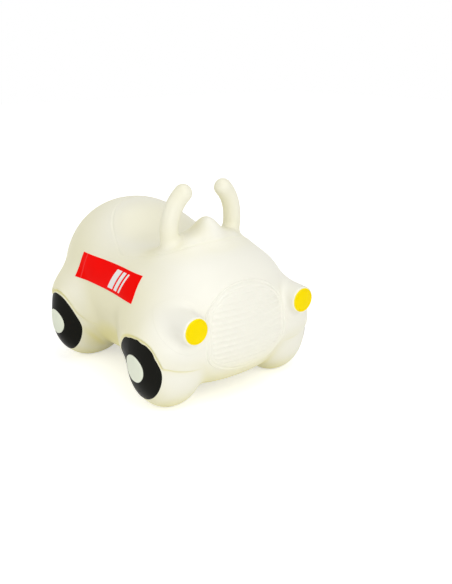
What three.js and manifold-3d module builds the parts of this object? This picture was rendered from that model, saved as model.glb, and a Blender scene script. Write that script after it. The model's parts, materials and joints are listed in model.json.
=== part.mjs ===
// An inflatable ride-on hopper in the shape of a toy car. One air-tight skin of soft vinyl carries
// the rider, two hollow horns serve as grips, and a stopper closes the air valve at the tail.
// The tyres, hubs and lamp faces are coats of paint on the skin, and each flank has a sticker.
// Millimetres, +X forwards, +Y to the car's left, +Z up, and the car stands on z = 0.
import * as THREE from 'three';
import { mergeVertices } from 'three/addons/utils/BufferGeometryUtils.js';
import Module from 'manifold-3d';

const wasm = await Module();
wasm.setup();

// Wall and film sizes
const SKIN_WALL = 3;
const PAINT_FILM = 0.6;
const STICKER_FILM = 0.6;
const CLEARANCE = 0.3;

// The wheel bulges are pressed flat where they stand: they would reach this far below the ground.
const FOOT_FLAT = 3;
const FRONT_WHEEL_X = 168.5;
const FRONT_WHEEL_SIDE = 124.5;
const FRONT_WHEEL_HALF = [66, 68.5, 92];
const REAR_WHEEL_X = -121;
const REAR_WHEEL_SIDE = 112;
const REAR_WHEEL_HALF = [57, 83, 92];

// Swellings of the skin: where the middle lies, the half sizes, and how square the form is, where
// 2 is an ellipsoid. A swelling with a depth is shallower below its middle than above it.
const DOME = { middle: [-113, 0, 149], half: [152, 149, 165], square: 2.1, depth: 123 };
const HOOD = { middle: [132, 0, 124], half: [120, 163, 146], square: 2.3, depth: 113 };
const BELLY = { middle: [19, 0, 121], half: [190, 130, 102], square: 3 };
const FLANK = { middle: [14, 0, 167], half: [179, 149, 96], square: 2.5 };
const COWL = { middle: [109, 0, 249], half: [46, 86, 34], square: 2 };
const RIDGE = { middle: [121, 0, 262], half: [34, 62, 28], square: 3 };
const POMMEL = { middle: [128, 0, 273], half: [32, 24, 43], square: 2 };
const FRONT_FENDER = { middle: [158, 126, 118], half: [86, 64, 53], square: 2.2 };
const REAR_FENDER = { middle: [-122, 120, 127], half: [70, 66, 58], square: 2.2 };
const FRONT_WHEEL = {
  middle: [FRONT_WHEEL_X, FRONT_WHEEL_SIDE, FRONT_WHEEL_HALF[2] - FOOT_FLAT],
  half: FRONT_WHEEL_HALF,
  square: 2.15,
};
const REAR_WHEEL = {
  middle: [REAR_WHEEL_X, REAR_WHEEL_SIDE, REAR_WHEEL_HALF[2] - FOOT_FLAT],
  half: REAR_WHEEL_HALF,
  square: 2.15,
};
// The saddle is a dent of this form, pressed into the skin from above.
const SADDLE = { middle: [54, 0, 401], half: [105, 180, 140], square: 2 };
// Between the wheels the underside flattens out at this height.
const UNDERSIDE = 19;

// How far each swelling flows into its neighbours
const MAIN_FLOW = 60;
const FLANK_FLOW = 40;
const COWL_FLOW = 40;
const SADDLE_FLOW = 50;
const UNDERSIDE_FLOW = 24;
const RIDGE_FLOW = 20;
const POMMEL_FLOW = 22;
const FENDER_FLOW = 34;
const WHEEL_FLOW = 10;

// Wheels: painted discs on the wheel bulges. The rear ones are narrower, and the arch of the front
// fender covers the top of its tyre.
const HUB_HEIGHT = 85;
const HUB_RADIUS = 26;
const FRONT_TYRE = { halfLength: 54.5, halfHeight: 62 };
const REAR_TYRE = { halfLength: 48.5, halfHeight: 62 };
const ARCH_RADIUS = 90;
const ARCH_HEIGHT = 139;

// Lamp pods: tapered stubs beside the nose with a flat face for the lamp
const POD_SIDE = 123;
const POD_HEIGHT = 163;
const POD_REACH = 30;
const POD_DEPTH = 30;
const POD_ROOT_RADIUS = 34;
const POD_RADIUS = 25.5;
const POD_EDGE = 2.5;
const LAMP_RADIUS = 22.5;
const LAMP_RIM = 1.2;
const LAMP_CROWN = 4;

// Grips: horns on a ball root, seated in a cup of the skin, that flex fore and aft about the ball.
// The bend and the tip are places counted from the root.
const GRIP_X = 110;
const GRIP_SIDE = 68;
const GRIP_SINK = 11;
const GRIP_BEND = [3.5, 15, 64];
const GRIP_TIP = [9, -23, 99];
const GRIP_RADIUS = 16.5;
const GRIP_BALL_RADIUS = 20;
// Degrees each way, and the spare room beyond that
const GRIP_SWING = 12;
const SWING_MARGIN = 1;
const AIR_HOLE_RADIUS = 5;

// Valve at the tail: a bore through a thick boss, and a stopper with a head and a pull knob
const VALVE_HEIGHT = 150;
const VALVE_BORE_RADIUS = 4.2;
const VALVE_BOSS_RADIUS = 12;
const VALVE_BOSS_LENGTH = 11;
const VALVE_RECESS = 2;
const STOPPER_HEAD_RADIUS = 9;
const STOPPER_HEAD_THICKNESS = 2.4;
const STOPPER_SHANK_LENGTH = 14;
const STOPPER_TIP_RADIUS = 3;
const STOPPER_KNOB_RADIUS = 4;
const STOPPER_KNOB_LENGTH = 2.6;

// Stickers: the ends, and the lower and upper edges, on each flank
const STICKER_REAR_X = -88;
const STICKER_FRONT_X = 118;
const STICKER_LOW = 181;
const STICKER_HIGH = 227;

// Fineness of the meshes, as counts
const SKIN_SPLITS = 10;
const SKIN_ROUNDS = 120;
const ROUND_SIDES = 20;
const HORN_SIDES = 14;
const HORN_STEPS = 8;
const HORN_CAP_STEPS = 4;
// How much harder a bent stretch of skin draws the mesh's corners
const BEND_PULL = 8;

// Colours and finishes
const IVORY = { color: 0xf3f0e0, roughness: 0.42, metalness: 0 };
const BLACK = { color: 0x1c1b17, roughness: 0.38, metalness: 0 };
const PALE_GREY = { color: 0xd6ddd6, roughness: 0.45, metalness: 0 };
const YELLOW = { color: 0xffe000, roughness: 0.35, metalness: 0 };
const RED = { color: 0xf01408, roughness: 0.3, metalness: 0 };
const STOPPER_WHITE = { color: 0xe9e8e2, roughness: 0.5, metalness: 0 };

// Distance to the surface of a swelling, close to true near that surface
function swellingDistance(form, x, y, z) {
  const up = z - form.middle[2];
  const tall = up < 0 && form.depth ? form.depth : form.half[2];
  const a = Math.abs(x - form.middle[0]) / form.half[0] + 1e-9;
  const b = Math.abs(Math.abs(y) - form.middle[1]) / form.half[1] + 1e-9;
  const c = Math.abs(up) / tall + 1e-9;
  const n = form.square;
  const reach = (a ** n + b ** n + c ** n) ** (1 / n);
  const steep = Math.hypot(a ** (n - 1) / form.half[0], b ** (n - 1) / form.half[1], c ** (n - 1) / tall);
  return (reach - 1) / (reach ** (1 - n) * steep);
}

// The nearer of two surfaces, flowing into each other over a width
function flow(first, second, width) {
  const near = Math.max(width - Math.abs(first - second), 0) / width;
  return Math.min(first, second) - near * near * width / 4;
}

// Distance to the outside of the skin, without its pods and horns
function skinDistance(x, y, z) {
  const to = (form) => swellingDistance(form, x, y, z);
  let d = flow(to(DOME), to(HOOD), MAIN_FLOW);
  d = flow(d, to(BELLY), MAIN_FLOW);
  d = flow(d, to(FLANK), FLANK_FLOW);
  d = -flow(-d, z - UNDERSIDE, UNDERSIDE_FLOW);
  d = flow(d, to(COWL), COWL_FLOW);
  d = -flow(-d, to(SADDLE), SADDLE_FLOW);
  d = flow(d, to(RIDGE), RIDGE_FLOW);
  d = flow(d, to(POMMEL), POMMEL_FLOW);
  d = flow(d, to(FRONT_FENDER), FENDER_FLOW);
  d = flow(d, to(REAR_FENDER), FENDER_FLOW);
  d = flow(d, to(FRONT_WHEEL), WHEEL_FLOW);
  return flow(d, to(REAR_WHEEL), WHEEL_FLOW);
}

function skinNormal(x, y, z) {
  const step = 0.5;
  return new THREE.Vector3(
    skinDistance(x + step, y, z) - skinDistance(x - step, y, z),
    skinDistance(x, y + step, z) - skinDistance(x, y - step, z),
    skinDistance(x, y, z + step) - skinDistance(x, y, z - step),
  ).normalize();
}

const normalsAt = (points) => points.map((point) => skinNormal(point.x, point.y, point.z));

function merged(geometry) {
  const bare = geometry.clone();
  bare.deleteAttribute('normal');
  bare.deleteAttribute('uv');
  return mergeVertices(bare);
}

function solidOf(geometry) {
  const shared = merged(geometry);
  return new wasm.Manifold(new wasm.Mesh({
    numProp: 3,
    vertProperties: new Float32Array(shared.attributes.position.array),
    triVerts: new Uint32Array(shared.index.array),
  }));
}

function geometryOf(solid) {
  const mesh = solid.getMesh();
  const geometry = new THREE.BufferGeometry();
  geometry.setAttribute('position', new THREE.BufferAttribute(mesh.vertProperties, mesh.numProp));
  geometry.setIndex(new THREE.BufferAttribute(mesh.triVerts, 1));
  geometry.computeVertexNormals();
  return geometry;
}

const FORMS = [
  DOME, HOOD, BELLY, FLANK, COWL, RIDGE, POMMEL, FRONT_FENDER, REAR_FENDER, FRONT_WHEEL, REAR_WHEEL,
];

function reachAlong(axis) {
  return Math.max(...FORMS.map((form) => Math.abs(form.middle[axis]) + form.half[axis]));
}

// Well outside the skin in every direction
const OUTSIDE = 2 * reachAlong(0);

// Where a line from far outside first meets the skin, coming in against the given direction
function skinAlong(direction, through) {
  const steps = 400;
  const stride = 0.5;
  const point = through.clone().addScaledVector(direction, OUTSIDE);
  for (let step = 0; step < steps; step++) {
    point.addScaledVector(direction, -stride * skinDistance(point.x, point.y, point.z));
  }
  return point;
}

// Each corner's pull towards the middle of the triangles around it. Larger triangles pull harder, and
// so do those where the skin bends, which draws more of the corners there.
function evenPull(points, normals, index) {
  const pulls = points.map(() => new THREE.Vector3());
  const weights = new Float64Array(points.length);
  for (let i = 0; i < index.length; i += 3) {
    const [a, b, c] = [index[i], index[i + 1], index[i + 2]];
    const triangle = new THREE.Triangle(points[a], points[b], points[c]);
    const bend = 3 - normals[a].dot(normals[b]) - normals[b].dot(normals[c]) - normals[c].dot(normals[a]);
    const weight = triangle.getArea() * (1 + BEND_PULL * bend);
    const middle = triangle.getMidpoint(new THREE.Vector3());
    for (const corner of [a, b, c]) {
      pulls[corner].addScaledVector(middle, weight);
      weights[corner] += weight;
    }
  }
  return pulls.map((pull, i) => pull.divideScalar(weights[i]).sub(points[i]));
}

// A ball of even triangles is drawn onto the skin's surface and evened out as it settles.
function wrapSkin() {
  const ball = merged(new THREE.IcosahedronGeometry(1, SKIN_SPLITS));
  const index = ball.index.array;
  const half = new THREE.Vector3(reachAlong(0), reachAlong(1), reachAlong(2) / 2);
  const middle = new THREE.Vector3(0, 0, half.z);
  const points = [];
  for (let i = 0; i < ball.attributes.position.count; i++) {
    const point = new THREE.Vector3().fromBufferAttribute(ball.attributes.position, i);
    points.push(point.multiply(half).add(middle));
  }
  for (let round = 0; round < SKIN_ROUNDS; round++) {
    const normals = normalsAt(points);
    const pulls = evenPull(points, normals, index);
    points.forEach((point, i) => {
      point.add(pulls[i].addScaledVector(normals[i], -normals[i].dot(pulls[i])));
      point.addScaledVector(normals[i], -0.9 * skinDistance(point.x, point.y, point.z));
    });
  }
  return { points, normals: normalsAt(points), index };
}

const wrap = wrapSkin();

// The skin's whole form as a solid, moved outwards by a distance, or inwards where it is negative
function skinForm(outwards) {
  const places = new Float32Array(wrap.points.length * 3);
  wrap.points.forEach((point, i) => {
    point.clone().addScaledVector(wrap.normals[i], outwards).toArray(places, i * 3);
  });
  return new wasm.Manifold(new wasm.Mesh({
    numProp: 3,
    vertProperties: places,
    triVerts: new Uint32Array(wrap.index),
  }));
}

// A turned piece whose profile gives radius and distance along +X
function turnedAlongX(profile, x, y, z) {
  const outline = profile.map(([radius, along]) => new THREE.Vector2(radius, along));
  const lathe = new THREE.LatheGeometry(outline, ROUND_SIDES);
  lathe.rotateZ(-Math.PI / 2);
  lathe.translate(x, y, z);
  return solidOf(lathe);
}

// A bar of oval section across one side of the car, from inside its wheel bulges outwards
function barAcross(halfLength, halfHeight, x, z, side) {
  const bar = new THREE.CylinderGeometry(1, 1, OUTSIDE, 2 * ROUND_SIDES);
  bar.scale(halfLength, 1, halfHeight);
  bar.translate(x, side * (FRONT_WHEEL.middle[1] + OUTSIDE / 2), z);
  return solidOf(bar);
}

function block(low, high) {
  const size = new THREE.Vector3().subVectors(high, low);
  const box = new THREE.BoxGeometry(size.x, size.y, size.z);
  box.translate((low.x + high.x) / 2, (low.y + high.y) / 2, (low.z + high.z) / 2);
  return solidOf(box);
}

function ballAt(radius, place) {
  const ball = new THREE.SphereGeometry(radius, ROUND_SIDES, ROUND_SIDES / 2);
  ball.rotateX(Math.PI / 2);
  ball.translate(place.x, place.y, place.z);
  return solidOf(ball);
}

// The flats of a cup's facets lie nearer its middle than its corners, and they have to clear the ball.
const CUP_RADIUS = (GRIP_BALL_RADIUS + CLEARANCE) / Math.cos(Math.PI / ROUND_SIDES) ** 2;

const UP = new THREE.Vector3(0, 0, 1);
const AHEAD = new THREE.Vector3(1, 0, 0);
const BACK = new THREE.Vector3(-1, 0, 0);
const ROOT_Z = skinAlong(UP, new THREE.Vector3(GRIP_X, GRIP_SIDE, 0)).z - GRIP_SINK;

const gripRoot = (side) => new THREE.Vector3(GRIP_X, side * GRIP_SIDE, ROOT_Z);

function gripCurve(side) {
  const fromRoot = ([x, y, z]) => gripRoot(side).add(new THREE.Vector3(x, side * y, z));
  return new THREE.QuadraticBezierCurve3(gripRoot(side), fromRoot(GRIP_BEND), fromRoot(GRIP_TIP));
}

// A capsule bent along the horn's curve, with its round ends about the root and the tip
function hornForm(radius, side) {
  const curve = gripCurve(side);
  const length = curve.getLength();
  const capsule = merged(new THREE.CapsuleGeometry(radius, length, HORN_CAP_STEPS, HORN_SIDES, HORN_STEPS));
  const places = capsule.attributes.position;
  for (let i = 0; i < places.count; i++) {
    const along = places.getY(i) / length + 0.5;
    const t = Math.min(Math.max(along, 0), 1);
    const ahead = curve.getTangentAt(t);
    const left = new THREE.Vector3(0, 1, 0).addScaledVector(ahead, -ahead.y).normalize();
    const front = new THREE.Vector3().crossVectors(left, ahead);
    const place = curve.getPointAt(t).addScaledVector(ahead, (along - t) * length);
    place.addScaledVector(front, places.getX(i)).addScaledVector(left, -places.getZ(i));
    places.setXYZ(i, place.x, place.y, place.z);
  }
  return solidOf(capsule);
}

// A hole down through the ball root and its cup, so that the horn shares the air of the body
function airHole(side) {
  const depth = 3 * GRIP_BALL_RADIUS;
  const hole = new THREE.CylinderGeometry(AIR_HOLE_RADIUS, AIR_HOLE_RADIUS, depth, ROUND_SIDES / 2);
  hole.rotateX(Math.PI / 2);
  const root = gripRoot(side);
  hole.translate(root.x, root.y, root.z - depth / 2);
  return solidOf(hole);
}

// The room that a grip takes up on the skin as it flexes, with a distance round it
function swingRoom(distance, side) {
  const root = gripRoot(side);
  const furthest = GRIP_SWING + SWING_MARGIN;
  const turns = [-furthest, -furthest / 2, 0, furthest / 2, furthest];
  const swung = turns.map((turn) => {
    const horn = geometryOf(hornForm(GRIP_RADIUS + distance, side));
    horn.translate(-root.x, -root.y, -root.z);
    horn.rotateY(THREE.MathUtils.degToRad(turn));
    horn.translate(root.x, root.y, root.z);
    return solidOf(horn);
  });
  return swung.reduce((all, horn) => all.add(horn));
}

const TAIL_X = skinAlong(BACK, new THREE.Vector3(0, 0, VALVE_HEIGHT)).x;
const POD_SKIN_X = skinAlong(AHEAD, new THREE.Vector3(0, POD_SIDE, POD_HEIGHT)).x;
const POD_FACE_X = POD_SKIN_X + POD_REACH;
const SIDES = { left: 1, right: -1 };

function below(z) {
  return block(new THREE.Vector3(-OUTSIDE, -OUTSIDE, z - OUTSIDE), new THREE.Vector3(OUTSIDE, OUTSIDE, z));
}

function podForm(shrink, side) {
  const root = POD_ROOT_RADIUS - shrink;
  const radius = POD_RADIUS - shrink;
  const length = POD_DEPTH + POD_REACH - shrink;
  const profile = [
    [0, 0], [root, 0], [radius, length - POD_REACH / 2], [radius, length - POD_EDGE],
    [radius - POD_EDGE, length], [0, length],
  ];
  return turnedAlongX(profile, POD_SKIN_X - POD_DEPTH, side * POD_SIDE, POD_HEIGHT);
}

function bodySkin() {
  let outside = skinForm(0).subtract(below(0));
  let air = skinForm(-SKIN_WALL).subtract(below(SKIN_WALL));
  for (const side of Object.values(SIDES)) {
    outside = outside.add(podForm(0, side));
    air = air.add(podForm(SKIN_WALL, side));
    air = air.subtract(ballAt(CUP_RADIUS + SKIN_WALL, gripRoot(side)));
    air = air.subtract(swingRoom(CLEARANCE + SKIN_WALL, side));
  }
  const boss = [
    [0, 0], [VALVE_BOSS_RADIUS, 0], [VALVE_BOSS_RADIUS, VALVE_BOSS_LENGTH], [0, VALVE_BOSS_LENGTH],
  ];
  air = air.subtract(turnedAlongX(boss, TAIL_X, 0, VALVE_HEIGHT));
  let skin = outside.subtract(air);
  for (const side of Object.values(SIDES)) {
    skin = skin.subtract(ballAt(CUP_RADIUS, gripRoot(side)));
    skin = skin.subtract(airHole(side)).subtract(swingRoom(CLEARANCE, side));
  }
  const seat = STOPPER_HEAD_RADIUS + CLEARANCE;
  const outer = -VALVE_BOSS_LENGTH;
  const bore = [
    [0, outer], [seat, outer], [seat, VALVE_RECESS], [VALVE_BORE_RADIUS, VALVE_RECESS],
    [VALVE_BORE_RADIUS, 2 * VALVE_BOSS_LENGTH], [0, 2 * VALVE_BOSS_LENGTH],
  ];
  return skin.subtract(turnedAlongX(bore, TAIL_X, 0, VALVE_HEIGHT));
}

function grip(side) {
  const outside = hornForm(GRIP_RADIUS, side).add(ballAt(GRIP_BALL_RADIUS, gripRoot(side)));
  const air = hornForm(GRIP_RADIUS - SKIN_WALL, side).add(airHole(side));
  return outside.subtract(air);
}

// A film of even thickness that lies on the skin within an outline
function filmOnSkin(thickness, outline) {
  return skinForm(CLEARANCE + thickness).subtract(skinForm(CLEARANCE)).intersect(outline);
}

function tyrePaint(tyre, x, side) {
  const rim = HUB_RADIUS + CLEARANCE;
  const outline = barAcross(tyre.halfLength, tyre.halfHeight, x, HUB_HEIGHT, side);
  const arch = barAcross(ARCH_RADIUS, ARCH_RADIUS, x, ARCH_HEIGHT - ARCH_RADIUS, side);
  const ring = outline.subtract(barAcross(rim, rim, x, HUB_HEIGHT, side));
  return filmOnSkin(PAINT_FILM, tyre === FRONT_TYRE ? ring.intersect(arch) : ring);
}

function hubPaint(x, side) {
  return filmOnSkin(PAINT_FILM, barAcross(HUB_RADIUS, HUB_RADIUS, x, HUB_HEIGHT, side));
}

function sideSticker(side) {
  const low = new THREE.Vector3(STICKER_REAR_X, Math.min(0, side * OUTSIDE), STICKER_LOW);
  const high = new THREE.Vector3(STICKER_FRONT_X, Math.max(0, side * OUTSIDE), STICKER_HIGH);
  return filmOnSkin(STICKER_FILM, block(low, high));
}

function lamp(side) {
  const profile = [[0, 0], [LAMP_RADIUS, 0], [LAMP_RADIUS, LAMP_RIM]];
  const turns = 5;
  for (let i = 1; i <= turns; i++) {
    const angle = i / turns * Math.PI / 2;
    profile.push([LAMP_RADIUS * Math.cos(angle), LAMP_RIM + (LAMP_CROWN - LAMP_RIM) * Math.sin(angle)]);
  }
  profile[profile.length - 1][0] = 0;
  return turnedAlongX(profile, POD_FACE_X + CLEARANCE, side * POD_SIDE, POD_HEIGHT);
}

function stopper() {
  const seat = VALVE_RECESS - CLEARANCE;
  const head = seat - STOPPER_HEAD_THICKNESS;
  const knob = head - STOPPER_KNOB_LENGTH;
  const shank = VALVE_BORE_RADIUS - CLEARANCE;
  const profile = [
    [0, knob], [STOPPER_KNOB_RADIUS, knob], [STOPPER_KNOB_RADIUS, head], [STOPPER_HEAD_RADIUS, head],
    [STOPPER_HEAD_RADIUS, seat], [shank, seat], [STOPPER_TIP_RADIUS, seat + STOPPER_SHANK_LENGTH],
    [0, seat + STOPPER_SHANK_LENGTH],
  ];
  return turnedAlongX(profile, TAIL_X, 0, VALVE_HEIGHT);
}

const car = new THREE.Group();

function place(name, solid, finish) {
  const mesh = new THREE.Mesh(geometryOf(solid), new THREE.MeshStandardMaterial(finish));
  mesh.name = name;
  car.add(mesh);
}

place('body_skin', bodySkin(), IVORY);
place('valve_stopper', stopper(), STOPPER_WHITE);
for (const [name, side] of Object.entries(SIDES)) {
  place(`grip_${name}`, grip(side), IVORY);
  place(`lamp_${name}`, lamp(side), YELLOW);
  place(`side_sticker_${name}`, sideSticker(side), RED);
  for (const [end, wheel, tyre] of [['front', FRONT_WHEEL, FRONT_TYRE], ['rear', REAR_WHEEL, REAR_TYRE]]) {
    place(`tyre_${end}_${name}`, tyrePaint(tyre, wheel.middle[0], side), BLACK);
    place(`hub_${end}_${name}`, hubPaint(wheel.middle[0], side), PALE_GREY);
  }
}

// The origin lies on the ground under the middle of the car's length.
const bounds = new THREE.Box3().setFromObject(car);
car.position.x = -(bounds.min.x + bounds.max.x) / 2;

export default car;
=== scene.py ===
"""The looks of an inflatable ride-on hopper car, laid out as a Blender add-on.

The skin is one soft form: swellings that flow into each other. Horns, lamp pods, coats of paint and
stickers are laid out on grids and settled on that form. Metres, +X forwards, +Y left, +Z up.
"""
import json
import math
from collections import namedtuple

import bpy
import numpy as np
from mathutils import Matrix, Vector


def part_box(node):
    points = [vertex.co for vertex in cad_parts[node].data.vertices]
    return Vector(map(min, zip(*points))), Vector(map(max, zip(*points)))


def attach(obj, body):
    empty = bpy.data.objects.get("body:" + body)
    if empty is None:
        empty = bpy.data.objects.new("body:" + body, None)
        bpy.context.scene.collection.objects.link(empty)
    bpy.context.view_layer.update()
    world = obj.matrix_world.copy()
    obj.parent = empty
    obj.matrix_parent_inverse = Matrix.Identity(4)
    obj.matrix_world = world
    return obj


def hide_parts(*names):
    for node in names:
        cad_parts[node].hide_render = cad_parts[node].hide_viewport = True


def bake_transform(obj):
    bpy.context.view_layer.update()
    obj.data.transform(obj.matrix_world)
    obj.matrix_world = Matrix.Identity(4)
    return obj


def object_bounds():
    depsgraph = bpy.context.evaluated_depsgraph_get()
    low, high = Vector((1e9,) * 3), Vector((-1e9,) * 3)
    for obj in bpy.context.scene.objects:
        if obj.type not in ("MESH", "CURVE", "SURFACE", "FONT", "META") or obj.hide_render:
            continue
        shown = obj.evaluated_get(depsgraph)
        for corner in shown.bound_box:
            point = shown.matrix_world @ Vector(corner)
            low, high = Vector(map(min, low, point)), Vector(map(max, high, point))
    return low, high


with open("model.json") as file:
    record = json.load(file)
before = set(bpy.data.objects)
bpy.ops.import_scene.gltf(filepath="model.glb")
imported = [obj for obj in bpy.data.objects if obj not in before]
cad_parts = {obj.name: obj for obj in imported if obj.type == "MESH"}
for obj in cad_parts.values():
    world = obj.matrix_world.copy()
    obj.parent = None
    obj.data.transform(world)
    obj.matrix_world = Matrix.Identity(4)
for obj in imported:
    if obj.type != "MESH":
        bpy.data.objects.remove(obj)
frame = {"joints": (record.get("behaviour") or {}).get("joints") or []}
CAD_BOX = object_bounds()

bl_info = {
    "name": "Hopper Car",
    "version": (1, 0, 0),
    "blender": (4, 5, 0),
    "location": "3D View > Sidebar > Hopper",
    "description": "Models the skin, horns, wheels, lamps, stickers and valve of a ride-on hopper",
    "category": "Object",
}

JOINTS = {joint["name"]: joint for joint in frame["joints"]}
SIDES = {"left": 1, "right": -1}
FULL_TURN = 2 * math.pi
QUARTER_TURN = math.pi / 2
TINY = 1e-9
OUTSIDE = 1.3  # times the car's box
CURVE_STEPS = 5

# The joints sit at the horns' roots, so they tell how far ahead the frame holds the drawn car.
DRAWN_GRIP_X = 0.11
HORN_ROOT = Vector(JOINTS["grip_left_flex"]["pos_m"])
AHEAD = HORN_ROOT.x - DRAWN_GRIP_X

Swelling = namedtuple("Swelling", "middle half square depth")


def swelling(middle, half, square=2.0, depth=None):
    """A swelling of the skin; one with a depth is shallower below its middle than above it."""
    return Swelling((middle[0] + AHEAD, *middle[1:]), half, square, depth or half[2])


FOOT_FLAT = 0.003
DOME = swelling((-0.113, 0, 0.149), (0.152, 0.149, 0.165), 2.1, depth=0.123)
HOOD = swelling((0.132, 0, 0.124), (0.12, 0.163, 0.146), 2.3, depth=0.113)
BELLY = swelling((0.019, 0, 0.121), (0.19, 0.13, 0.102), 3.0)
FLANK = swelling((0.014, 0, 0.167), (0.179, 0.149, 0.096), 2.5)
COWL = swelling((0.109, 0, 0.249), (0.046, 0.086, 0.034))
SADDLE = swelling((0.054, 0, 0.401), (0.105, 0.18, 0.14))
UNDERSIDE = 0.019
GROWN = {  # what grows out of the body, each with the width over which it flows into it
    "ridge": (swelling((0.121, 0, 0.262), (0.034, 0.062, 0.028), 3.0), 0.02),
    "pommel": (swelling((0.128, 0, 0.273), (0.032, 0.024, 0.043)), 0.022),
    "front fender": (swelling((0.158, 0.126, 0.118), (0.086, 0.064, 0.053), 2.2), 0.034),
    "rear fender": (swelling((-0.122, 0.12, 0.127), (0.07, 0.066, 0.058), 2.2), 0.034),
    "front wheel": (
        swelling((0.1685, 0.1245, 0.092 - FOOT_FLAT), (0.066, 0.0685, 0.092), 2.15), 0.01),
    "rear wheel": (
        swelling((-0.121, 0.112, 0.092 - FOOT_FLAT), (0.057, 0.083, 0.092), 2.15), 0.01),
}
MAIN_FLOW = 0.06
FLANK_FLOW = 0.04
UNDERSIDE_FLOW = 0.024
COWL_FLOW = 0.04
SADDLE_FLOW = 0.05
GROUND_FLOW = 0.002


def length_of(name, description, default):
    return bpy.props.FloatProperty(
        name=name, description=description, default=default, unit="LENGTH", precision=5)


def colour_of(name, description, default):
    return bpy.props.FloatVectorProperty(
        name=name, description=description, default=default, subtype="COLOR")


class HopperSizes(bpy.types.PropertyGroup):
    """Sizes that a maker would change."""

    paint_film: length_of("Paint film", "Height of the paint on the skin", 0.0005)
    sticker_film: length_of("Sticker film", "Height of a sticker on the skin", 0.0004)
    horn_radius: length_of("Horn radius", "Half the thickness of a horn grip", 0.0165)
    seat_groove: length_of("Seat groove", "Depth of the line round the seat", 0.0009)
    fender_lip: length_of("Fender lip", "Height of a fender's edge over its wheel", 0.005)
    rib_relief: length_of("Rib relief", "Height of the ribs on the nose", 0.0019)


class HopperColours(bpy.types.PropertyGroup):
    """Colours of the vinyl, the paints and the stickers."""

    vinyl: colour_of("Vinyl", "Ivory of the skin", (0.868, 0.853, 0.755))
    # Painted shade: the deeper ivory that is mixed into the skin where shade falls
    painted_shade: colour_of("Vinyl in hollows", "Deeper ivory of the hollows", (0.8, 0.74, 0.3))
    tyre: colour_of("Tyre paint", "Black of the tyres", (0.008, 0.008, 0.006))
    tyre_edge: colour_of("Tyre edge", "Thinner black at the tyres' edges", (0.022, 0.02, 0.014))
    hub: colour_of("Hub paint", "Pale grey of the hubs", (0.81, 0.85, 0.7))
    hub_edge: colour_of("Hub edge", "Darker grey at the hubs' edges", (0.62, 0.64, 0.52))
    lamp: colour_of("Lamp paint", "Yellow of the lamps", (0.97, 0.75, 0.0))
    lamp_rim: colour_of("Lamp rim", "Lemon of the lamps' rims", (0.98, 0.83, 0.03))
    sticker: colour_of("Sticker", "Red of the stickers", (0.98, 0.0025, 0.0008))
    bar: colour_of("Sticker bars", "White of the stickers' bars", (0.88, 0.85, 0.83))
    stopper: colour_of("Stopper", "White of the air stopper", (0.8, 0.79, 0.74))


# The form of the skin

def swelling_distance(form, points):
    """Distance to the surface of a swelling, close to true near that surface."""
    up = points[:, 2] - form.middle[2]
    tall = np.where(up < 0, form.depth, form.half[2])
    a = np.abs(points[:, 0] - form.middle[0]) / form.half[0] + TINY
    b = np.abs(np.abs(points[:, 1]) - form.middle[1]) / form.half[1] + TINY
    c = np.abs(up) / tall + TINY
    n = form.square
    an, bn, cn = a ** (n - 1), b ** (n - 1), c ** (n - 1)
    reach = (an * a + bn * b + cn * c) ** (1 / n)
    steep = np.sqrt((an / form.half[0]) ** 2 + (bn / form.half[1]) ** 2 + (cn / tall) ** 2)
    return (reach - 1) / (reach ** (1 - n) * steep)


def flow(first, second, width):
    """The nearer of two surfaces, flowing into each other over a width."""
    near = np.maximum(width - np.abs(first - second), 0) / width
    return np.minimum(first, second) - near * near * width / 4


def skin_distance(points):
    """Distance to the outside of the skin, without its pods, horns and moulded lines."""
    def to(form):
        return swelling_distance(form, points)

    d = flow(to(DOME), to(HOOD), MAIN_FLOW)
    d = flow(d, to(BELLY), MAIN_FLOW)
    d = flow(d, to(FLANK), FLANK_FLOW)
    d = -flow(-d, points[:, 2] - UNDERSIDE, UNDERSIDE_FLOW)
    d = flow(d, to(COWL), COWL_FLOW)
    d = -flow(-d, to(SADDLE), SADDLE_FLOW)
    for form, width in GROWN.values():
        d = flow(d, to(form), width)
    return -flow(-d, points[:, 2], GROUND_FLOW)


def unit(vectors):
    """Vectors brought to a length of 1."""
    return vectors / np.maximum(np.linalg.norm(vectors, axis=1, keepdims=True), TINY)


def normals_of(distance, points, step=0.0004):
    """Unit directions away from a surface that is given by its distance."""
    slopes = [distance(points + axis) - distance(points - axis) for axis in np.eye(3) * step]
    return unit(np.stack(slopes, axis=1))


def settle(distance, points, rounds=6):
    """Points moved onto a surface, each by the shortest way."""
    for _ in range(rounds):
        points = points - normals_of(distance, points) * distance(points)[:, None]
    return points


def drape(points, direction, rounds=70, share=0.8):
    """Points brought in against a direction from outside until they meet the skin."""
    points = points.copy()
    for _ in range(rounds):
        points -= np.outer(share * skin_distance(points), direction)
    return points


def drape_aside(side, x, z):
    """Places brought in from one side of the car until they meet the skin."""
    start = np.stack([x, np.full_like(x, side * CAD_BOX[1][1] * OUTSIDE), z], axis=1)
    return drape(start, (0, side, 0))


def lifted(points, rise):
    """Points moved off the skin, each by its own rise."""
    return points + normals_of(skin_distance, points) * rise[:, None]


def ridge(offset, half):
    """1 on a line, fading away over a half width."""
    return np.exp(-(offset / half) ** 2)


def smooth_step(low, high, values):
    """0 below a range, 1 above it, and a smooth rise between."""
    share = np.clip((values - low) / (high - low), 0, 1)
    return share * share * (3 - 2 * share)


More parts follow.
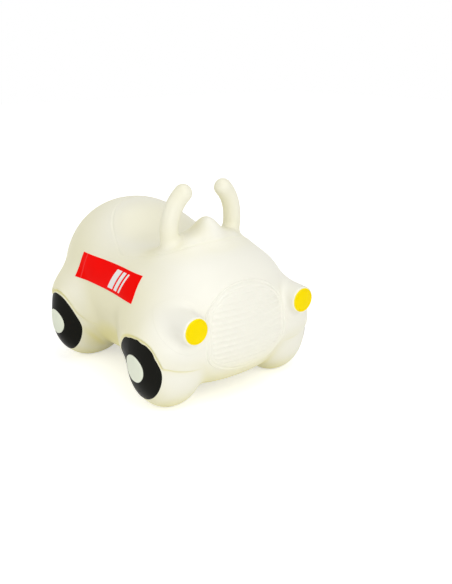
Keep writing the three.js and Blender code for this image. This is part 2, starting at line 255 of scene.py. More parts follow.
def curve_through(points, steps):
    """A smooth curve through points, as closely spaced places."""
    points = np.array(points, float)
    padded = np.vstack([2 * points[0] - points[1], points, 2 * points[-1] - points[-2]])
    t = np.linspace(0, 1, steps, endpoint=False)[:, None]
    places = []
    for a, b, c, d in zip(padded, padded[1:], padded[2:], padded[3:]):
        places.append(0.5 * (2 * b + (c - a) * t + (2 * a - 5 * b + 4 * c - d) * t ** 2
                             + (3 * b - a - 3 * c + d) * t ** 3))
    places.append(points[-1:])
    return np.vstack(places)


def nearest_on(points, line):
    """Each point's gap to a line, the way to it from there, and the share along the line."""
    gaps = np.full(len(points), np.inf)
    ways = np.zeros_like(points)
    shares = np.zeros(len(points))
    for index, (a, b) in enumerate(zip(line, line[1:])):
        stretch = b - a
        share = np.clip((points - a) @ stretch / max(stretch @ stretch, TINY), 0, 1)
        way = points - a - share[:, None] * stretch
        gap = np.linalg.norm(way, axis=1)
        nearer = gap < gaps
        gaps[nearer] = gap[nearer]
        ways[nearer] = way[nearer]
        shares[nearer] = (index + share[nearer]) / (len(line) - 1)
    return gaps, ways, shares


def close_to(points, line, reach):
    """Which points lie in a line's box grown by a reach, and what nearest_on tells of them."""
    close = ((points > line.min(axis=0) - reach) & (points < line.max(axis=0) + reach)).all(axis=1)
    return close, *nearest_on(points[close], line)


# Moulded lines: the groove round the seat and the lips of the fenders

SEAT_LINE = [
    (-0.113, 0, 0.314), (-0.113, -0.014, 0.313), (-0.098, -0.05, 0.306),
    (-0.076, -0.073, 0.292), (-0.057, -0.087, 0.278), (-0.038, -0.094, 0.263),
    (-0.006, -0.102, 0.239), (0.03, -0.117, 0.238), (0.075, -0.114, 0.252),
    (0.125, -0.101, 0.263), (0.149, -0.071, 0.272), (0.162, -0.03, 0.276),
    (0.163, 0, 0.276),
]
SEAT_GROOVE_HALF = 0.004
LIP_FIRST_ANGLE = 165
LIP_LAST_ANGLE = {"front": 12, "rear": 30}
LIP_POINTS = 16
LIP_CURVE_STEPS = 4
LIP_TAILS = {
    "front": [(0.236, 0.163, 0.093), (0.243, 0.14, 0.086), (0.246, 0.118, 0.081),
              (0.247, 0.09, 0.078)],
    "rear": [(-0.064, 0.164, 0.106), (-0.06, 0.158, 0.099), (-0.053, 0.151, 0.094),
             (-0.044, 0.145, 0.091), (-0.033, 0.14, 0.089)],
}
LIP_GAP = {"front": 0.0025, "rear": 0.0045}
LIP_CREASE = {"front": 0.0018, "rear": 0.0035}
LIP_STEP = 0.0014
LIP_FADE = 0.012
LIP_REACH = 0.045
LIP_SHADE = 0.0022
LIP_AIM_HEIGHT = 0.04
LIP_START = (0, 0.3)
LIP_END = (0.9, 1)

# Painted shade: deeper ivory drawn in the seat's groove and the fenders' creases, where the skin is
# closed in, where it faces down or away from the light, between the wheels and in the seat's dip
GROOVE_SHADE_TINT = 0.15
LIP_SHADE_TINT = 0.95
RECESS_REACHES = (0.02, 0.05, 0.1)
CLOSED_RANGE = (0.02, 0.6)
UNDER_TINT = 0.9
UNDER_RANGE = (0.15, 1)
SIDE_TINT = 0.45
SIDE_RANGE = (0, 0.9)
# the way the light comes from; faces turned away from it get painted shade
LIT_WAY = (0.85, 0, 0.53)
SPOT_RANGE = (-0.04, 0.05)
WAIST = swelling((0.03, 0.11, 0.045), (0.108, 0.075, 0.08))
WAIST_TINT = 0.9
SEAT_DIP = swelling((-0.025, 0, 0.27), (0.1, 0.1, 0.06))
SEAT_TINT = 0.2

# The outlines of the tyres
TYRE_SQUARE = {"front": 2.0, "rear": 2.15}
TYRE_SHARES = {  # reach ahead, above and below
    "front_left": (0.9, 1, 1), "front_right": (0.97, 1, 1),
    "rear_left": (1, 0.94, 1.05), "rear_right": (1, 0.94, 1.05),
}
TYRE_ARCH_RADIUS = 0.09
TYRE_ARCH_EASE = 0.004
TYRE_WAVES = ((9, 0.0005, 0.4), (17, 0.0004, 2.1))  # count, size, turn

Wheel = namedtuple("Wheel", "end at side x z hub_radius outline")


def tyre_outline(length, height, shares, square, arch_top):
    """A tyre's radius by angle: an uneven oval, cut by the fender's arch if it has one."""
    ahead, above, below = shares

    def outline(angle):
        long = length * np.where(np.cos(angle) > 0, ahead, 1)
        tall = height * np.where(np.sin(angle) > 0, above, below)
        oval = np.abs(np.cos(angle) / long) ** square + np.abs(np.sin(angle) / tall) ** square
        oval = oval ** (-1 / square)
        if arch_top is None:
            return oval
        drop = TYRE_ARCH_RADIUS - arch_top
        arch = np.sqrt(TYRE_ARCH_RADIUS ** 2 - (drop * np.cos(angle)) ** 2) - drop * np.sin(angle)
        return flow(oval, arch, TYRE_ARCH_EASE)
    return outline


def wheels():
    """The four wheels as the frame's films give them."""
    found = []
    for end in ("front", "rear"):
        for name, side in SIDES.items():
            at = f"{end}_{name}"
            hub_low, hub_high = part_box(f"hub_{at}")
            tyre_low, tyre_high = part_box(f"tyre_{at}")
            middle = (hub_low + hub_high) / 2
            arch_top = tyre_high.z - middle.z if end == "front" else None
            length, height = (tyre_high.x - tyre_low.x) / 2, middle.z - tyre_low.z
            outline = tyre_outline(length, height, TYRE_SHARES[at], TYRE_SQUARE[end], arch_top)
            radius = (hub_high.x - hub_low.x) / 2
            found.append(Wheel(end, at, side, middle.x, middle.z, radius, outline))
    return found


def seat_line():
    """The moulded line round the seat, both sides of the car, on the skin."""
    near = np.array(SEAT_LINE)
    far = near[::-1] * (1, -1, 1)
    return settle(skin_distance, curve_through(np.vstack([near, far[1:]]), CURVE_STEPS))


def round_wheel(wheel, angle, radius):
    """Places on the skin, by angle and radius round the middle of a wheel."""
    x, z = wheel.x + radius * np.cos(angle), wheel.z + radius * np.sin(angle)
    return drape_aside(wheel.side, x, z)


def lip_line(wheel):
    """The edge of a fender: over its tyre, down in front of it, then off along the skin."""
    angle = np.radians(np.linspace(LIP_FIRST_ANGLE, LIP_LAST_ANGLE[wheel.end], LIP_POINTS))
    arch = round_wheel(wheel, angle, wheel.outline(angle) + LIP_GAP[wheel.end])
    tail = np.array(LIP_TAILS[wheel.end]) * (1, wheel.side, 1)
    return settle(skin_distance, curve_through(np.vstack([arch, tail]), LIP_CURVE_STEPS))


def form_shade(points):
    """Painted shade at each point, from 0 to 1, without the moulded lines: where the skin is closed
    in, faces down or away from the light, between the wheels and in the seat's dip.
    """
    normals = normals_of(skin_distance, points)
    open_share = np.zeros(len(points))
    for reach in RECESS_REACHES:
        clear = np.clip(skin_distance(points + normals * reach) / reach, 0, 1)
        open_share += clear / len(RECESS_REACHES)

    def spot(form):
        return 1 - smooth_step(*SPOT_RANGE, swelling_distance(form, points))

    return np.maximum.reduce([
        smooth_step(*CLOSED_RANGE, 1 - open_share),
        UNDER_TINT * smooth_step(*UNDER_RANGE, -normals[:, 2]),
        SIDE_TINT * (1 - smooth_step(*SIDE_RANGE, normals @ LIT_WAY)),
        WAIST_TINT * spot(WAIST),
        SEAT_TINT * spot(SEAT_DIP),
    ])


class Relief:
    """The moulded lines: how far they lift or sink the skin, and the shade painted into the skin's
    colour.
    """

    def __init__(self, sizes):
        self.sizes = sizes
        self.seat = seat_line()
        self.lips = [(wheel, lip_line(wheel)) for wheel in wheels()]
        self.lines = [self.seat] + [line for _, line in self.lips]

    def groove(self, points):
        """The share of its depth that the seat's groove has at each point."""
        share = np.zeros(len(points))
        close, gaps, _, _ = close_to(points, self.seat, SEAT_GROOVE_HALF)
        share[close] = 1 - smooth_step(0, SEAT_GROOVE_HALF, gaps)
        return share

    def near_lip(self, points, line):
        """Which points are near a fender's edge, how far off and which way, and its strength."""
        close, gaps, ways, shares = close_to(points, line, LIP_REACH)
        strength = smooth_step(*LIP_START, shares) * (1 - smooth_step(*LIP_END, shares))
        return close, gaps, ways, strength

    def lift(self, points):
        """How far each point is lifted off the smooth skin."""
        lift = -self.sizes.seat_groove * self.groove(points)
        for wheel, line in self.lips:
            close, gaps, ways, strength = self.near_lip(points, line)
            aim = points[close] - (wheel.x, 0, LIP_AIM_HEIGHT)
            above = np.sign((ways * aim)[:, (0, 2)].sum(axis=1)) * gaps
            step = np.tanh(above / LIP_STEP) * np.exp(-np.abs(above) / LIP_FADE)
            crease = LIP_CREASE[wheel.end] * ridge(gaps, LIP_SHADE)
            lift[close] += strength * (0.5 * self.sizes.fender_lip * step - crease)
        return lift

    def hollows(self, points):
        """How much shade is painted at each point as deeper ivory, from 0 to 1, with the seat's
        groove and the fenders' creases.
        """
        share = np.maximum(GROOVE_SHADE_TINT * self.groove(points), form_shade(points))
        for _, line in self.lips:
            close, gaps, _, strength = self.near_lip(points, line)
            share[close] += (1 - share[close]) * LIP_SHADE_TINT * strength * ridge(gaps, LIP_SHADE)
        return share


# Meshes

MERGE_REACH = 1e-6
TURNED_COLUMNS = 64


def set_mode(mode):
    bpy.ops.object.mode_set(mode=mode)


def deselect_all():
    if bpy.context.object and bpy.context.object.mode != "OBJECT":
        set_mode("OBJECT")
    bpy.ops.object.select_all(action="DESELECT")


def activate(piece):
    deselect_all()
    piece.select_set(True)
    bpy.context.view_layer.objects.active = piece


def newest(name):
    """The object that was just added, with its name."""
    made = bpy.context.object
    made.name = made.data.name = name
    return made


def points_of(piece):
    points = np.empty(len(piece.data.vertices) * 3)
    piece.data.vertices.foreach_get("co", points)
    return points.reshape(-1, 3)


def set_points(piece, points):
    piece.data.vertices.foreach_set("co", np.asarray(points, np.float32).ravel())
    piece.data.update()


def loop_corners(piece):
    corners = np.empty(len(piece.data.loops), np.int32)
    piece.data.loops.foreach_get("vertex_index", corners)
    return corners


def corners_of(piece):
    """The corners of each triangle of a mesh that is all triangles."""
    return loop_corners(piece).reshape(-1, 3)


def middles_of(piece):
    """The middle of each triangle."""
    return points_of(piece)[corners_of(piece)].mean(axis=1)


def mark_shade(piece, relief):
    """Marks for the material where shade is painted into a piece of the skin as deeper ivory."""
    layer = piece.data.attributes.new("painted_shade", "FLOAT", "POINT")
    layer.data.foreach_set("value", relief.hollows(points_of(piece)).astype(np.float32))


def mould(piece, relief):
    """Presses the moulded lines into a piece of the skin, and marks the shade painted into its
    colour.
    """
    mark_shade(piece, relief)
    points = points_of(piece)
    set_points(piece, lifted(points, relief.lift(points)))


def select_faces(piece, chosen):
    """Goes into edit mode with only the chosen faces selected."""
    activate(piece)
    set_mode("EDIT")
    bpy.ops.mesh.select_mode(type="FACE")
    bpy.ops.mesh.select_all(action="DESELECT")
    set_mode("OBJECT")
    piece.data.polygons.foreach_set("select", chosen)
    set_mode("EDIT")


def grid_piece(name, columns, rows, place, fill=False):
    """A grid laid out by a function of its two shares, with what meets itself merged."""
    deselect_all()
    bpy.ops.mesh.primitive_grid_add(x_subdivisions=columns, y_subdivisions=rows, size=2)
    piece = newest(name)
    shares = (points_of(piece)[:, :2] + 1) / 2
    layout = shares[loop_corners(piece)].astype(np.float32)
    piece.data.uv_layers.active.data.foreach_set("uv", layout.ravel())
    set_points(piece, place(shares[:, 0], shares[:, 1]))
    set_mode("EDIT")
    bpy.ops.mesh.select_all(action="SELECT")
    bpy.ops.mesh.remove_doubles(threshold=MERGE_REACH)
    if fill:
        bpy.ops.mesh.fill_holes(sides=0)
    bpy.ops.mesh.normals_make_consistent(inside=False)
    set_mode("OBJECT")
    bpy.ops.object.shade_smooth()
    return piece


def thicken(piece, thickness, outwards):
    """Turns a laid-out film to face outwards, and gives it its thickness into the skin."""
    normals = np.empty(len(piece.data.polygons) * 3)
    piece.data.polygons.foreach_get("normal", normals)
    activate(piece)
    if (normals.reshape(-1, 3) @ outwards).sum() < 0:
        set_mode("EDIT")
        bpy.ops.mesh.select_all(action="SELECT")
        bpy.ops.mesh.flip_normals()
        set_mode("OBJECT")
    wall = piece.modifiers.new("thickness", "SOLIDIFY")
    wall.thickness = thickness
    wall.offset = -1
    bpy.ops.object.modifier_apply(modifier=wall.name)


def turned_piece(name, profile, place):
    """A piece turned about the car's length, from a profile of radius and distance ahead."""
    outline = curve_through(profile, CURVE_STEPS)
    steps = np.arange(len(outline))

    def turned(across, along):
        at = along * steps[-1]
        radius = np.interp(at, steps, outline[:, 0]).clip(0)
        angle = across * FULL_TURN
        ahead = np.interp(at, steps, outline[:, 1])
        round_middle = np.stack([ahead, radius * np.cos(angle), radius * np.sin(angle)], axis=1)
        return round_middle + place

    return grid_piece(name, TURNED_COLUMNS, len(outline) - 1, turned, fill=True)


def dress(piece, finish, slot, body, *nodes):
    """Gives a piece its material and its body, and hides the nodes that it replaces; the slot is
    not used.
    """
    piece.data.materials.clear()
    piece.data.materials.append(finish_named(finish))
    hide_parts(*nodes)
    if body:
        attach(piece, body)


# Materials

def feed(tree, socket, value):
    """Links a socket to another, or sets its value."""
    if isinstance(value, bpy.types.NodeSocket):
        tree.links.new(value, socket)
    else:
        socket.default_value = value


def add_node(tree, kind, inputs=None, **settings):
    """A shader node with its settings, and its inputs set or linked."""
    made = tree.nodes.new("ShaderNode" + kind)
    for name, value in settings.items():
        setattr(made, name, value)
    for name, value in (inputs or {}).items():
        feed(tree, made.inputs[name], value)
    return made


def math_node(tree, operation, *values):
    return add_node(tree, "Math", dict(enumerate(values)), operation=operation).outputs[0]


def ranged(tree, value, low, high, to_low=0, to_high=1):
    """A value brought from one range to another, and kept inside it."""
    inputs = dict(enumerate((value, low, high, to_low, to_high)))
    return add_node(tree, "MapRange", inputs).outputs["Result"]


def mixed(tree, share, first, second):
    """A colour between two others."""
    inputs = {0: share, 6: first, 7: second}
    return add_node(tree, "Mix", inputs, data_type="RGBA").outputs[2]


def opaque(colour, shade=1.0):
    return (*(shade * part for part in colour), 1)


def shared_group(name, inputs, outputs, fill):
    """A shader node group, made and filled with nodes the first time it is asked for."""
    if name not in bpy.data.node_groups:
        group = bpy.data.node_groups.new(name, "ShaderNodeTree")
        for in_out, sockets in (("INPUT", inputs), ("OUTPUT", outputs)):
            for socket in sockets:
                made = group.interface.new_socket(
                    name=socket, in_out=in_out, socket_type="NodeSocketFloat")
                made.default_value = inputs.get(socket, 0.0)
        given, result = group.nodes.new("NodeGroupInput"), group.nodes.new("NodeGroupOutput")
        fill(group, given.outputs, result.inputs)
    return bpy.data.node_groups[name]


SURFACE_NOISES = {  # scale, detail, distortion, and the range that is shown
    "Grain": (900.0, 3.0, 0.0, None),
    "Mottle": (8.0, 4.0, 0.0, (0.35, 0.65)),
    "Marks": (38.0, 5.0, 0.7, (0.56, 0.72)),
}


def fill_moulded_surface(group, given, shown):
    """Fine grain, broad mottling and handling marks."""
    place = add_node(group, "TexCoord").outputs["Object"]
    for output, (_, detail, distortion, span) in SURFACE_NOISES.items():
        inputs = {"Vector": place, "Scale": given[f"{output} Scale"], "Detail": detail}
        noise = add_node(group, "TexNoise", {**inputs, "Distortion": distortion}).outputs["Fac"]
        feed(group, shown[output], ranged(group, noise, *span) if span else noise)


def layout_of(tree):
    """The two shares of a piece's own layout, as outputs X and Y."""
    layout = add_node(tree, "TexCoord").outputs["UV"]
    return add_node(tree, "SeparateXYZ", {0: layout}).outputs


def fill_film_edge(group, given, shown):
    """The outer part of a film, by its own layout."""
    edge = ranged(group, layout_of(group)["Y"], given["Start"], given["End"])
    feed(group, shown["Edge"], edge)


def new_finish(name, shine=0.5):
    """A material, its nodes and its shader."""
    finish = bpy.data.materials.new(name)
    finish.use_nodes = True
    shader = finish.node_tree.nodes["Principled BSDF"]
    shader.inputs["Specular IOR Level"].default_value = shine
    return finish, finish.node_tree, shader


def moulded_finish(name, grain, roughness, shine=0.5):
    """A material with moulded grain and marks, its nodes, its colour's socket and its mottling."""
    finish, tree, shader = new_finish(name, shine)
    scales = {f"{output} Scale": noise[0] for output, noise in SURFACE_NOISES.items()}
    group = shared_group("moulded_surface", scales, SURFACE_NOISES, fill_moulded_surface)
    surface = add_node(tree, "Group", node_tree=group)
    surface.inputs["Grain Scale"].default_value, height = grain
    marks = ranged(tree, surface.outputs["Marks"], 0, 1, *roughness)
    feed(tree, shader.inputs["Roughness"], marks)
    inputs = {"Height": surface.outputs["Grain"], "Distance": height}
    bump = add_node(tree, "Bump", inputs).outputs["Normal"]
    feed(tree, shader.inputs["Normal"], bump)
    return finish, tree, shader.inputs["Base Color"], surface.outputs["Mottle"]


def mottled(tree, mottle, colour, dark, bright):
    """A colour that varies between two shades of itself."""
    return mixed(tree, mottle, opaque(colour, dark), opaque(colour, bright))


def vinyl_finish(colours):
    """Soft ivory vinyl: satin, with shade painted in as deeper ivory in its hollows, underneath,
    away from the light and in its moulded lines.
    """
    finish, tree, shown, mottle = moulded_finish(
        "ivory_vinyl", grain=(700.0, 0.00004), roughness=(0.4, 0.48))
    ivory = mottled(tree, mottle, colours.vinyl, dark=0.985, bright=1.01)
    # Painted shade: the marked share mixes the deeper ivory into the vinyl
    painted_shade = add_node(tree, "Attribute", attribute_name="painted_shade").outputs["Fac"]
    feed(tree, shown, mixed(tree, painted_shade, ivory, opaque(colours.painted_shade)))
    return finish


def film_finish(name, colour, edge_colour, roughness, shine, edge):
    """A sprayed film of paint: grained, handled, and of another colour towards its edge."""
    finish, tree, shown, mottle = moulded_finish(name, (1100.0, 0.00003), roughness, shine)
    group = shared_group("film_edge", {"Start": 0.9, "End": 1.0}, ("Edge",), fill_film_edge)
    outer = add_node(tree, "Group", node_tree=group)
    outer.inputs["Start"].default_value, outer.inputs["End"].default_value = edge
    paint = mottled(tree, mottle, colour, dark=0.92, bright=1.03)
    feed(tree, shown, mixed(tree, outer.outputs["Edge"], paint, opaque(edge_colour)))
    return finish


STICKER_BARS = ((0.575, 0.042), (0.668, 0.026), (0.736, 0.013))  # middle, half width
STICKER_SLANT = 0.1
STICKER_BAR_HALF = 0.38
STICKER_CREASE = 0.085
STICKER_CREASE_HALF = 0.006
# how pale the painted highlight along the crease is
STICKER_CREASE_HIGHLIGHT = 0.06
STICKER_CREASE_RISE = 0.0004


def sticker_finish(colours):
    """A red film with three slanting white bars, and a faint crease drawn paler as a painted
    highlight.
    """
    finish, tree, shown, mottle = moulded_finish(
        "red_film", grain=(300.0, 0.00003), roughness=(0.28, 0.42), shine=0.02)
    layout = layout_of(tree)
    slanted = math_node(tree, "MULTIPLY_ADD", layout["Y"], -STICKER_SLANT, layout["X"])
    bars = 0.0
    for middle, half in STICKER_BARS:
        bar = math_node(tree, "COMPARE", slanted, middle, half)
        bars = math_node(tree, "MAXIMUM", bars, bar)
    inside = math_node(tree, "COMPARE", layout["Y"], 0.5, STICKER_BAR_HALF)
    bars = math_node(tree, "MULTIPLY", bars, inside)
    # Painted highlight: the crease is drawn paler with a little of the bars' white
    crease = math_node(tree, "COMPARE", layout["X"], STICKER_CREASE, STICKER_CREASE_HALF)
    crease = math_node(tree, "MULTIPLY", crease, STICKER_CREASE_HIGHLIGHT)
    red = mottled(tree, mottle, colours.sticker, dark=0.94, bright=1.03)
    red = mixed(tree, crease, red, opaque(colours.bar))
    feed(tree, shown, mixed(tree, bars, red, opaque(colours.bar)))
    return finish


def stopper_finish(colours):
    """Hard white plastic with faint marks of use."""
    finish, tree, shown, mottle = moulded_finish(
        "white_plastic", grain=(1500.0, 0.00002), roughness=(0.36, 0.5))
    feed(tree, shown, mottled(tree, mottle, colours.stopper, dark=0.96, bright=1.0))
    return finish


def finish_named(name):
    """The material of that name, made the first time it is asked for."""
    if name in bpy.data.materials:
        return bpy.data.materials[name]
    colours = bpy.context.scene.hopper_colours
    makers = {
        "ivory_vinyl": vinyl_finish, "red_film": sticker_finish, "white_plastic": stopper_finish,
    }
    if name in makers:
        return makers[name](colours)
    films = {  # colour, colour of the edge, roughness, shine, reach of the edge
        "black_paint": (colours.tyre, colours.tyre_edge, (0.36, 0.5), 0.05, (0.96, 1.0)),
        "grey_paint": (colours.hub, colours.hub_edge, (0.42, 0.52), 0.12, (0.92, 1.0)),
        "yellow_paint": (colours.lamp, colours.lamp_rim, (0.32, 0.42), 0.05, (0.72, 0.86)),
    }
    return film_finish(name, *films[name])


# The skin

SKIN_START = (0.26, 0.2, 0.16)
SKIN_SUBDIVISIONS = 5
WRAP_ROUNDS = 120
FINER_WRAP_ROUNDS = (25, 8)
WRAP_SHARE = 0.9
LINE_REACHES = (0.009, 0.0045)
BEND_PULL = 8.0
VALVE_POCKET_RADIUS = 0.0115
VALVE_POCKET_DEPTH = 0.016
VALVE_SPOT = (0, 0, 1e-4)
SETTLE_ROUNDS = 3


def even_pull(points, normals, corners):
    """Each corner's pull to the middles of its triangles, harder to large or bent ones."""
    a, b, c = (points[corners[:, i]] for i in range(3))
    p, q, r = (normals[corners[:, i]] for i in range(3))
    bend = 3 - (p * q).sum(1) - (q * r).sum(1) - (r * p).sum(1)
    weight = np.linalg.norm(np.cross(b - a, c - a), axis=1) * (1 + BEND_PULL * bend)
    middle = (a + b + c) / 3
    around = corners.ravel()
    total = np.bincount(around, np.repeat(weight, 3), len(points))
    pull = np.empty_like(points)
    for axis in range(3):
        drawn = np.bincount(around, np.repeat(weight * middle[:, axis], 3), len(points))
        pull[:, axis] = drawn / total - points[:, axis]
    return pull


def wrap(piece, rounds):
    """Draws a mesh onto the skin's form and evens it out as it settles."""
    points, corners = points_of(piece), corners_of(piece)
    for _ in range(rounds):
        normals = normals_of(skin_distance, points)
        pull = even_pull(points, normals, corners)
        points = points + pull - normals * (pull * normals).sum(1, keepdims=True)
        points = points - WRAP_SHARE * normals * skin_distance(points)[:, None]
    set_points(piece, points)


def subdivide(piece, chosen):
    """Splits the chosen triangles in four, and what borders on them to fit."""
    select_faces(piece, chosen)
    bpy.ops.mesh.subdivide(number_cuts=1)
    bpy.ops.mesh.select_all(action="SELECT")
    bpy.ops.mesh.quads_convert_to_tris()
    set_mode("OBJECT")


def near_lines(piece, lines, reach):
    """Which triangles lie within a reach of any of some lines."""
    middles = middles_of(piece)
    near = np.zeros(len(middles), bool)
    for line in lines:
        close, gaps, _, _ = close_to(middles, line, reach)
        near[close] |= gaps < reach
    return near


def valve_place():
    """Where the middle of the valve meets the skin at the tail."""
    low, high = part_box("valve_stopper")
    start = np.array([(CAD_BOX[0][0] * OUTSIDE, 0, (low.z + high.z) / 2)])
    return drape(start, (-1, 0, 0))[0]


class HOPPER_OT_make_skin(bpy.types.Operator):
    """Wraps the one-piece skin: body, saddle, fenders and wheel bulges"""

    bl_idname = "hopper.make_skin"
    bl_label = "Make skin"

    def execute(self, context):
        relief = Relief(context.scene.hopper_sizes)
        tail = valve_place()
        deselect_all()
        bpy.ops.mesh.primitive_ico_sphere_add(subdivisions=SKIN_SUBDIVISIONS, radius=1)
        skin = newest("skin")
        set_points(skin, points_of(skin) * SKIN_START + (0, 0, SKIN_START[2]))
        wrap(skin, WRAP_ROUNDS)
        for rounds in FINER_WRAP_ROUNDS:
            subdivide(skin, np.ones(len(skin.data.polygons), bool))
            wrap(skin, rounds)
        valve_spot = np.array([tail, tail + VALVE_SPOT])
        for reach in LINE_REACHES:
            near_valve = near_lines(skin, [valve_spot], reach + VALVE_POCKET_RADIUS)
            subdivide(skin, near_lines(skin, relief.lines, reach) | near_valve)
            set_points(skin, settle(skin_distance, points_of(skin), SETTLE_ROUNDS))
        mould(skin, relief)
        from_tail = np.linalg.norm(middles_of(skin) - tail, axis=1)
        select_faces(skin, from_tail < VALVE_POCKET_RADIUS)
        inwards = {"value": (VALVE_POCKET_DEPTH, 0, 0)}
        bpy.ops.mesh.extrude_region_move(TRANSFORM_OT_translate=inwards)
        set_mode("OBJECT")
        bpy.ops.object.shade_smooth()
        dress(skin, "ivory_vinyl", "skin_vinyl", "body", "body_skin")
        return {"FINISHED"}


# Horns and lamp pods

HORN_BEND = (0.0035, 0.015, 0.064)
HORN_TIP = (0.009, -0.023, 0.099)
HORN_FLOW = 0.012
HORN_LINE_POINTS = 25
HORN_SHARES = (0.28, 0.84)  # where the skirt and the stem end
HORN_FIRST_SHARE = 0.12
HORN_SPREAD = 1.5
HORN_DROP = 0.01
HORN_GRID = (72, 84)
POD_FLOW = 0.014
POD_ROOT_RADIUS = 0.03
POD_RADIUS = 0.0255
POD_LENGTH = 0.07
POD_EDGE = 0.003
POD_SHARES = (0.35, 0.7, 0.85)  # where the skirt, the stub and its edge end
POD_EDGE_ROOM = 0.02
POD_ROOT_ROOM = 0.004
POD_SPREAD = 1.4
POD_GRID = (72, 56)
LAMP_PROFILE = (  # shares of the radius and of the height
    (0, 0.8), (0.4, 0.74), (0.7, 0.52), (0.8, 0.34), (0.84, 0.4), (0.9, 0.62),
    (0.96, 0.5), (1, 0.2), (1, -0.2),
)
GROWTH_ROUNDS = 14
SKIRT_SINK = 0.0022
SKIRT_RISE = 0.0002


def horn_curve(side, shares):
    """Places along the middle of a horn, and the directions there."""
    root, bend, tip = np.array((HORN_ROOT, HORN_BEND, HORN_TIP)) * (1, side, 1)
    bend, tip = root + bend, root + tip
    t = shares[:, None]
    places = (1 - t) ** 2 * root + 2 * t * (1 - t) * bend + t ** 2 * tip
    ways = 2 * (1 - t) * (bend - root) + 2 * t * (tip - bend)
    return places, unit(ways)


def lay_skirt(points, spread):
    """Lifts a skirt just clear of the skin that it grows from, with its rim tucked under."""
    rim = spread > 1 - TINY
    return lifted(points, np.where(rim, -SKIRT_SINK, SKIRT_RISE * spread))


def horn_places(across, along, side, radius):
    """Places on a horn: a skirt on the skin, the bent stem, then the round tip."""
    middle, _ = horn_curve(side, np.linspace(0, 1, HORN_LINE_POINTS))

    def grown(points):
        gaps, _, _ = nearest_on(points, middle)
        return flow(skin_distance(points), gaps - radius, HORN_FLOW)

    skirt, stem = HORN_SHARES
    angle = across * FULL_TURN
    share = np.clip((along - skirt) / (stem - skirt), 0, 1)
    places, ways = horn_curve(side, HORN_FIRST_SHARE + (1 - HORN_FIRST_SHARE) * share)
    left = unit((0, 1, 0) - ways * ways[:, 1:2])
    front = np.cross(left, ways)
    outwards = front * np.cos(angle)[:, None] + left * np.sin(angle)[:, None]
    tip = np.clip((along - stem) / (1 - stem), 0, 1) * QUARTER_TURN
    points = places + radius * (outwards * np.cos(tip)[:, None] + ways * np.sin(tip)[:, None])
    spread = np.clip(1 - along / skirt, 0, 1)
    points += outwards * (spread ** 2 * HORN_SPREAD * HORN_FLOW)[:, None]
    points[:, 2] -= spread * HORN_DROP
    return lay_skirt(settle(grown, points, GROWTH_ROUNDS), spread)


class HOPPER_OT_make_horns(bpy.types.Operator):
    """Grows the two horn grips out of the cowl"""

    bl_idname = "hopper.make_horns"
    bl_label = "Make horns"

    def execute(self, context):
        sizes = context.scene.hopper_sizes
        relief = Relief(sizes)
        for name, side in SIDES.items():
            def place(across, along):
                return horn_places(across, along, side, sizes.horn_radius)

            horn = grid_piece(f"horn_{name}", *HORN_GRID, place, fill=True)
            mould(horn, relief)
            dress(horn, "ivory_vinyl", "skin_vinyl", None, f"grip_{name}")
            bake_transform(horn)
        return {"FINISHED"}


def pod_radius(x, face_x):
    share = np.clip((face_x - x) / POD_LENGTH, 0, 1)
    return POD_RADIUS + (POD_ROOT_RADIUS - POD_RADIUS) * share


def pod_places(across, along, face_x, middle):
    """Places on a lamp pod: a skirt on the skin, the stub, its round edge, then the flat face."""
    def grown(points):
        out = np.hypot(points[:, 1] - middle[1], points[:, 2] - middle[2])
        stub = np.maximum(out - pod_radius(points[:, 0], face_x), points[:, 0] - face_x)
        return flow(skin_distance(points), stub, POD_FLOW)

    skirt, stub, edge = POD_SHARES
    angle = across * FULL_TURN
    outwards = np.stack([np.zeros_like(angle), np.cos(angle), np.sin(angle)], axis=1)
    far = middle + outwards * (POD_ROOT_RADIUS + POD_ROOT_ROOM) + (CAD_BOX[1][0] * OUTSIDE, 0, 0)
    root = drape(far, (1, 0, 0))
    spread = np.clip(1 - along / skirt, 0, 1)
    share = np.clip((along - skirt) / (stub - skirt), 0, 1)
    x = root[:, 0] + (face_x - POD_EDGE - root[:, 0]) * share
    radius = pod_radius(x, face_x) + spread * POD_SPREAD * POD_FLOW
    turn = np.clip((along - stub) / (edge - stub), 0, 1) * QUARTER_TURN
    radius -= POD_EDGE * (1 - np.cos(turn))
    x += POD_EDGE * np.sin(turn)
    radius *= 1 - np.clip((along - edge) / (1 - edge), 0, 1)
    points = middle + outwards * radius[:, None]
    points[:, 0] = x
    wall = along < stub - POD_EDGE_ROOM
    points[wall] = lay_skirt(settle(grown, points[wall], GROWTH_ROUNDS), spread[wall])
    return points


class HOPPER_OT_make_lamps(bpy.types.Operator):
    """Grows the two lamp pods beside the nose, with their painted lamps"""

    bl_idname = "hopper.make_lamps"
    bl_label = "Make lamps"

    def execute(self, context):
        relief = Relief(context.scene.hopper_sizes)
        for name in SIDES:
            low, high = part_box(f"lamp_{name}")
            radius, crown = (high.y - low.y) / 2, high.x - low.x
            middle = np.array((0, (low.y + high.y) / 2, (low.z + high.z) / 2))

            def place(across, along):
                return pod_places(across, along, low.x, middle)

            pod = grid_piece(f"lamp_pod_{name}", *POD_GRID, place, fill=True)
            mould(pod, relief)
            dress(pod, "ivory_vinyl", "skin_vinyl", "body")
            profile = [(radius * out, crown * ahead) for out, ahead in LAMP_PROFILE]
            lamp = turned_piece(f"lamp_face_{name}", profile, middle + (low.x, 0, 0))
            dress(lamp, "yellow_paint", "lamp_paint", "body", f"lamp_{name}")
        return {"FINISHED"}


# The ribbed nose

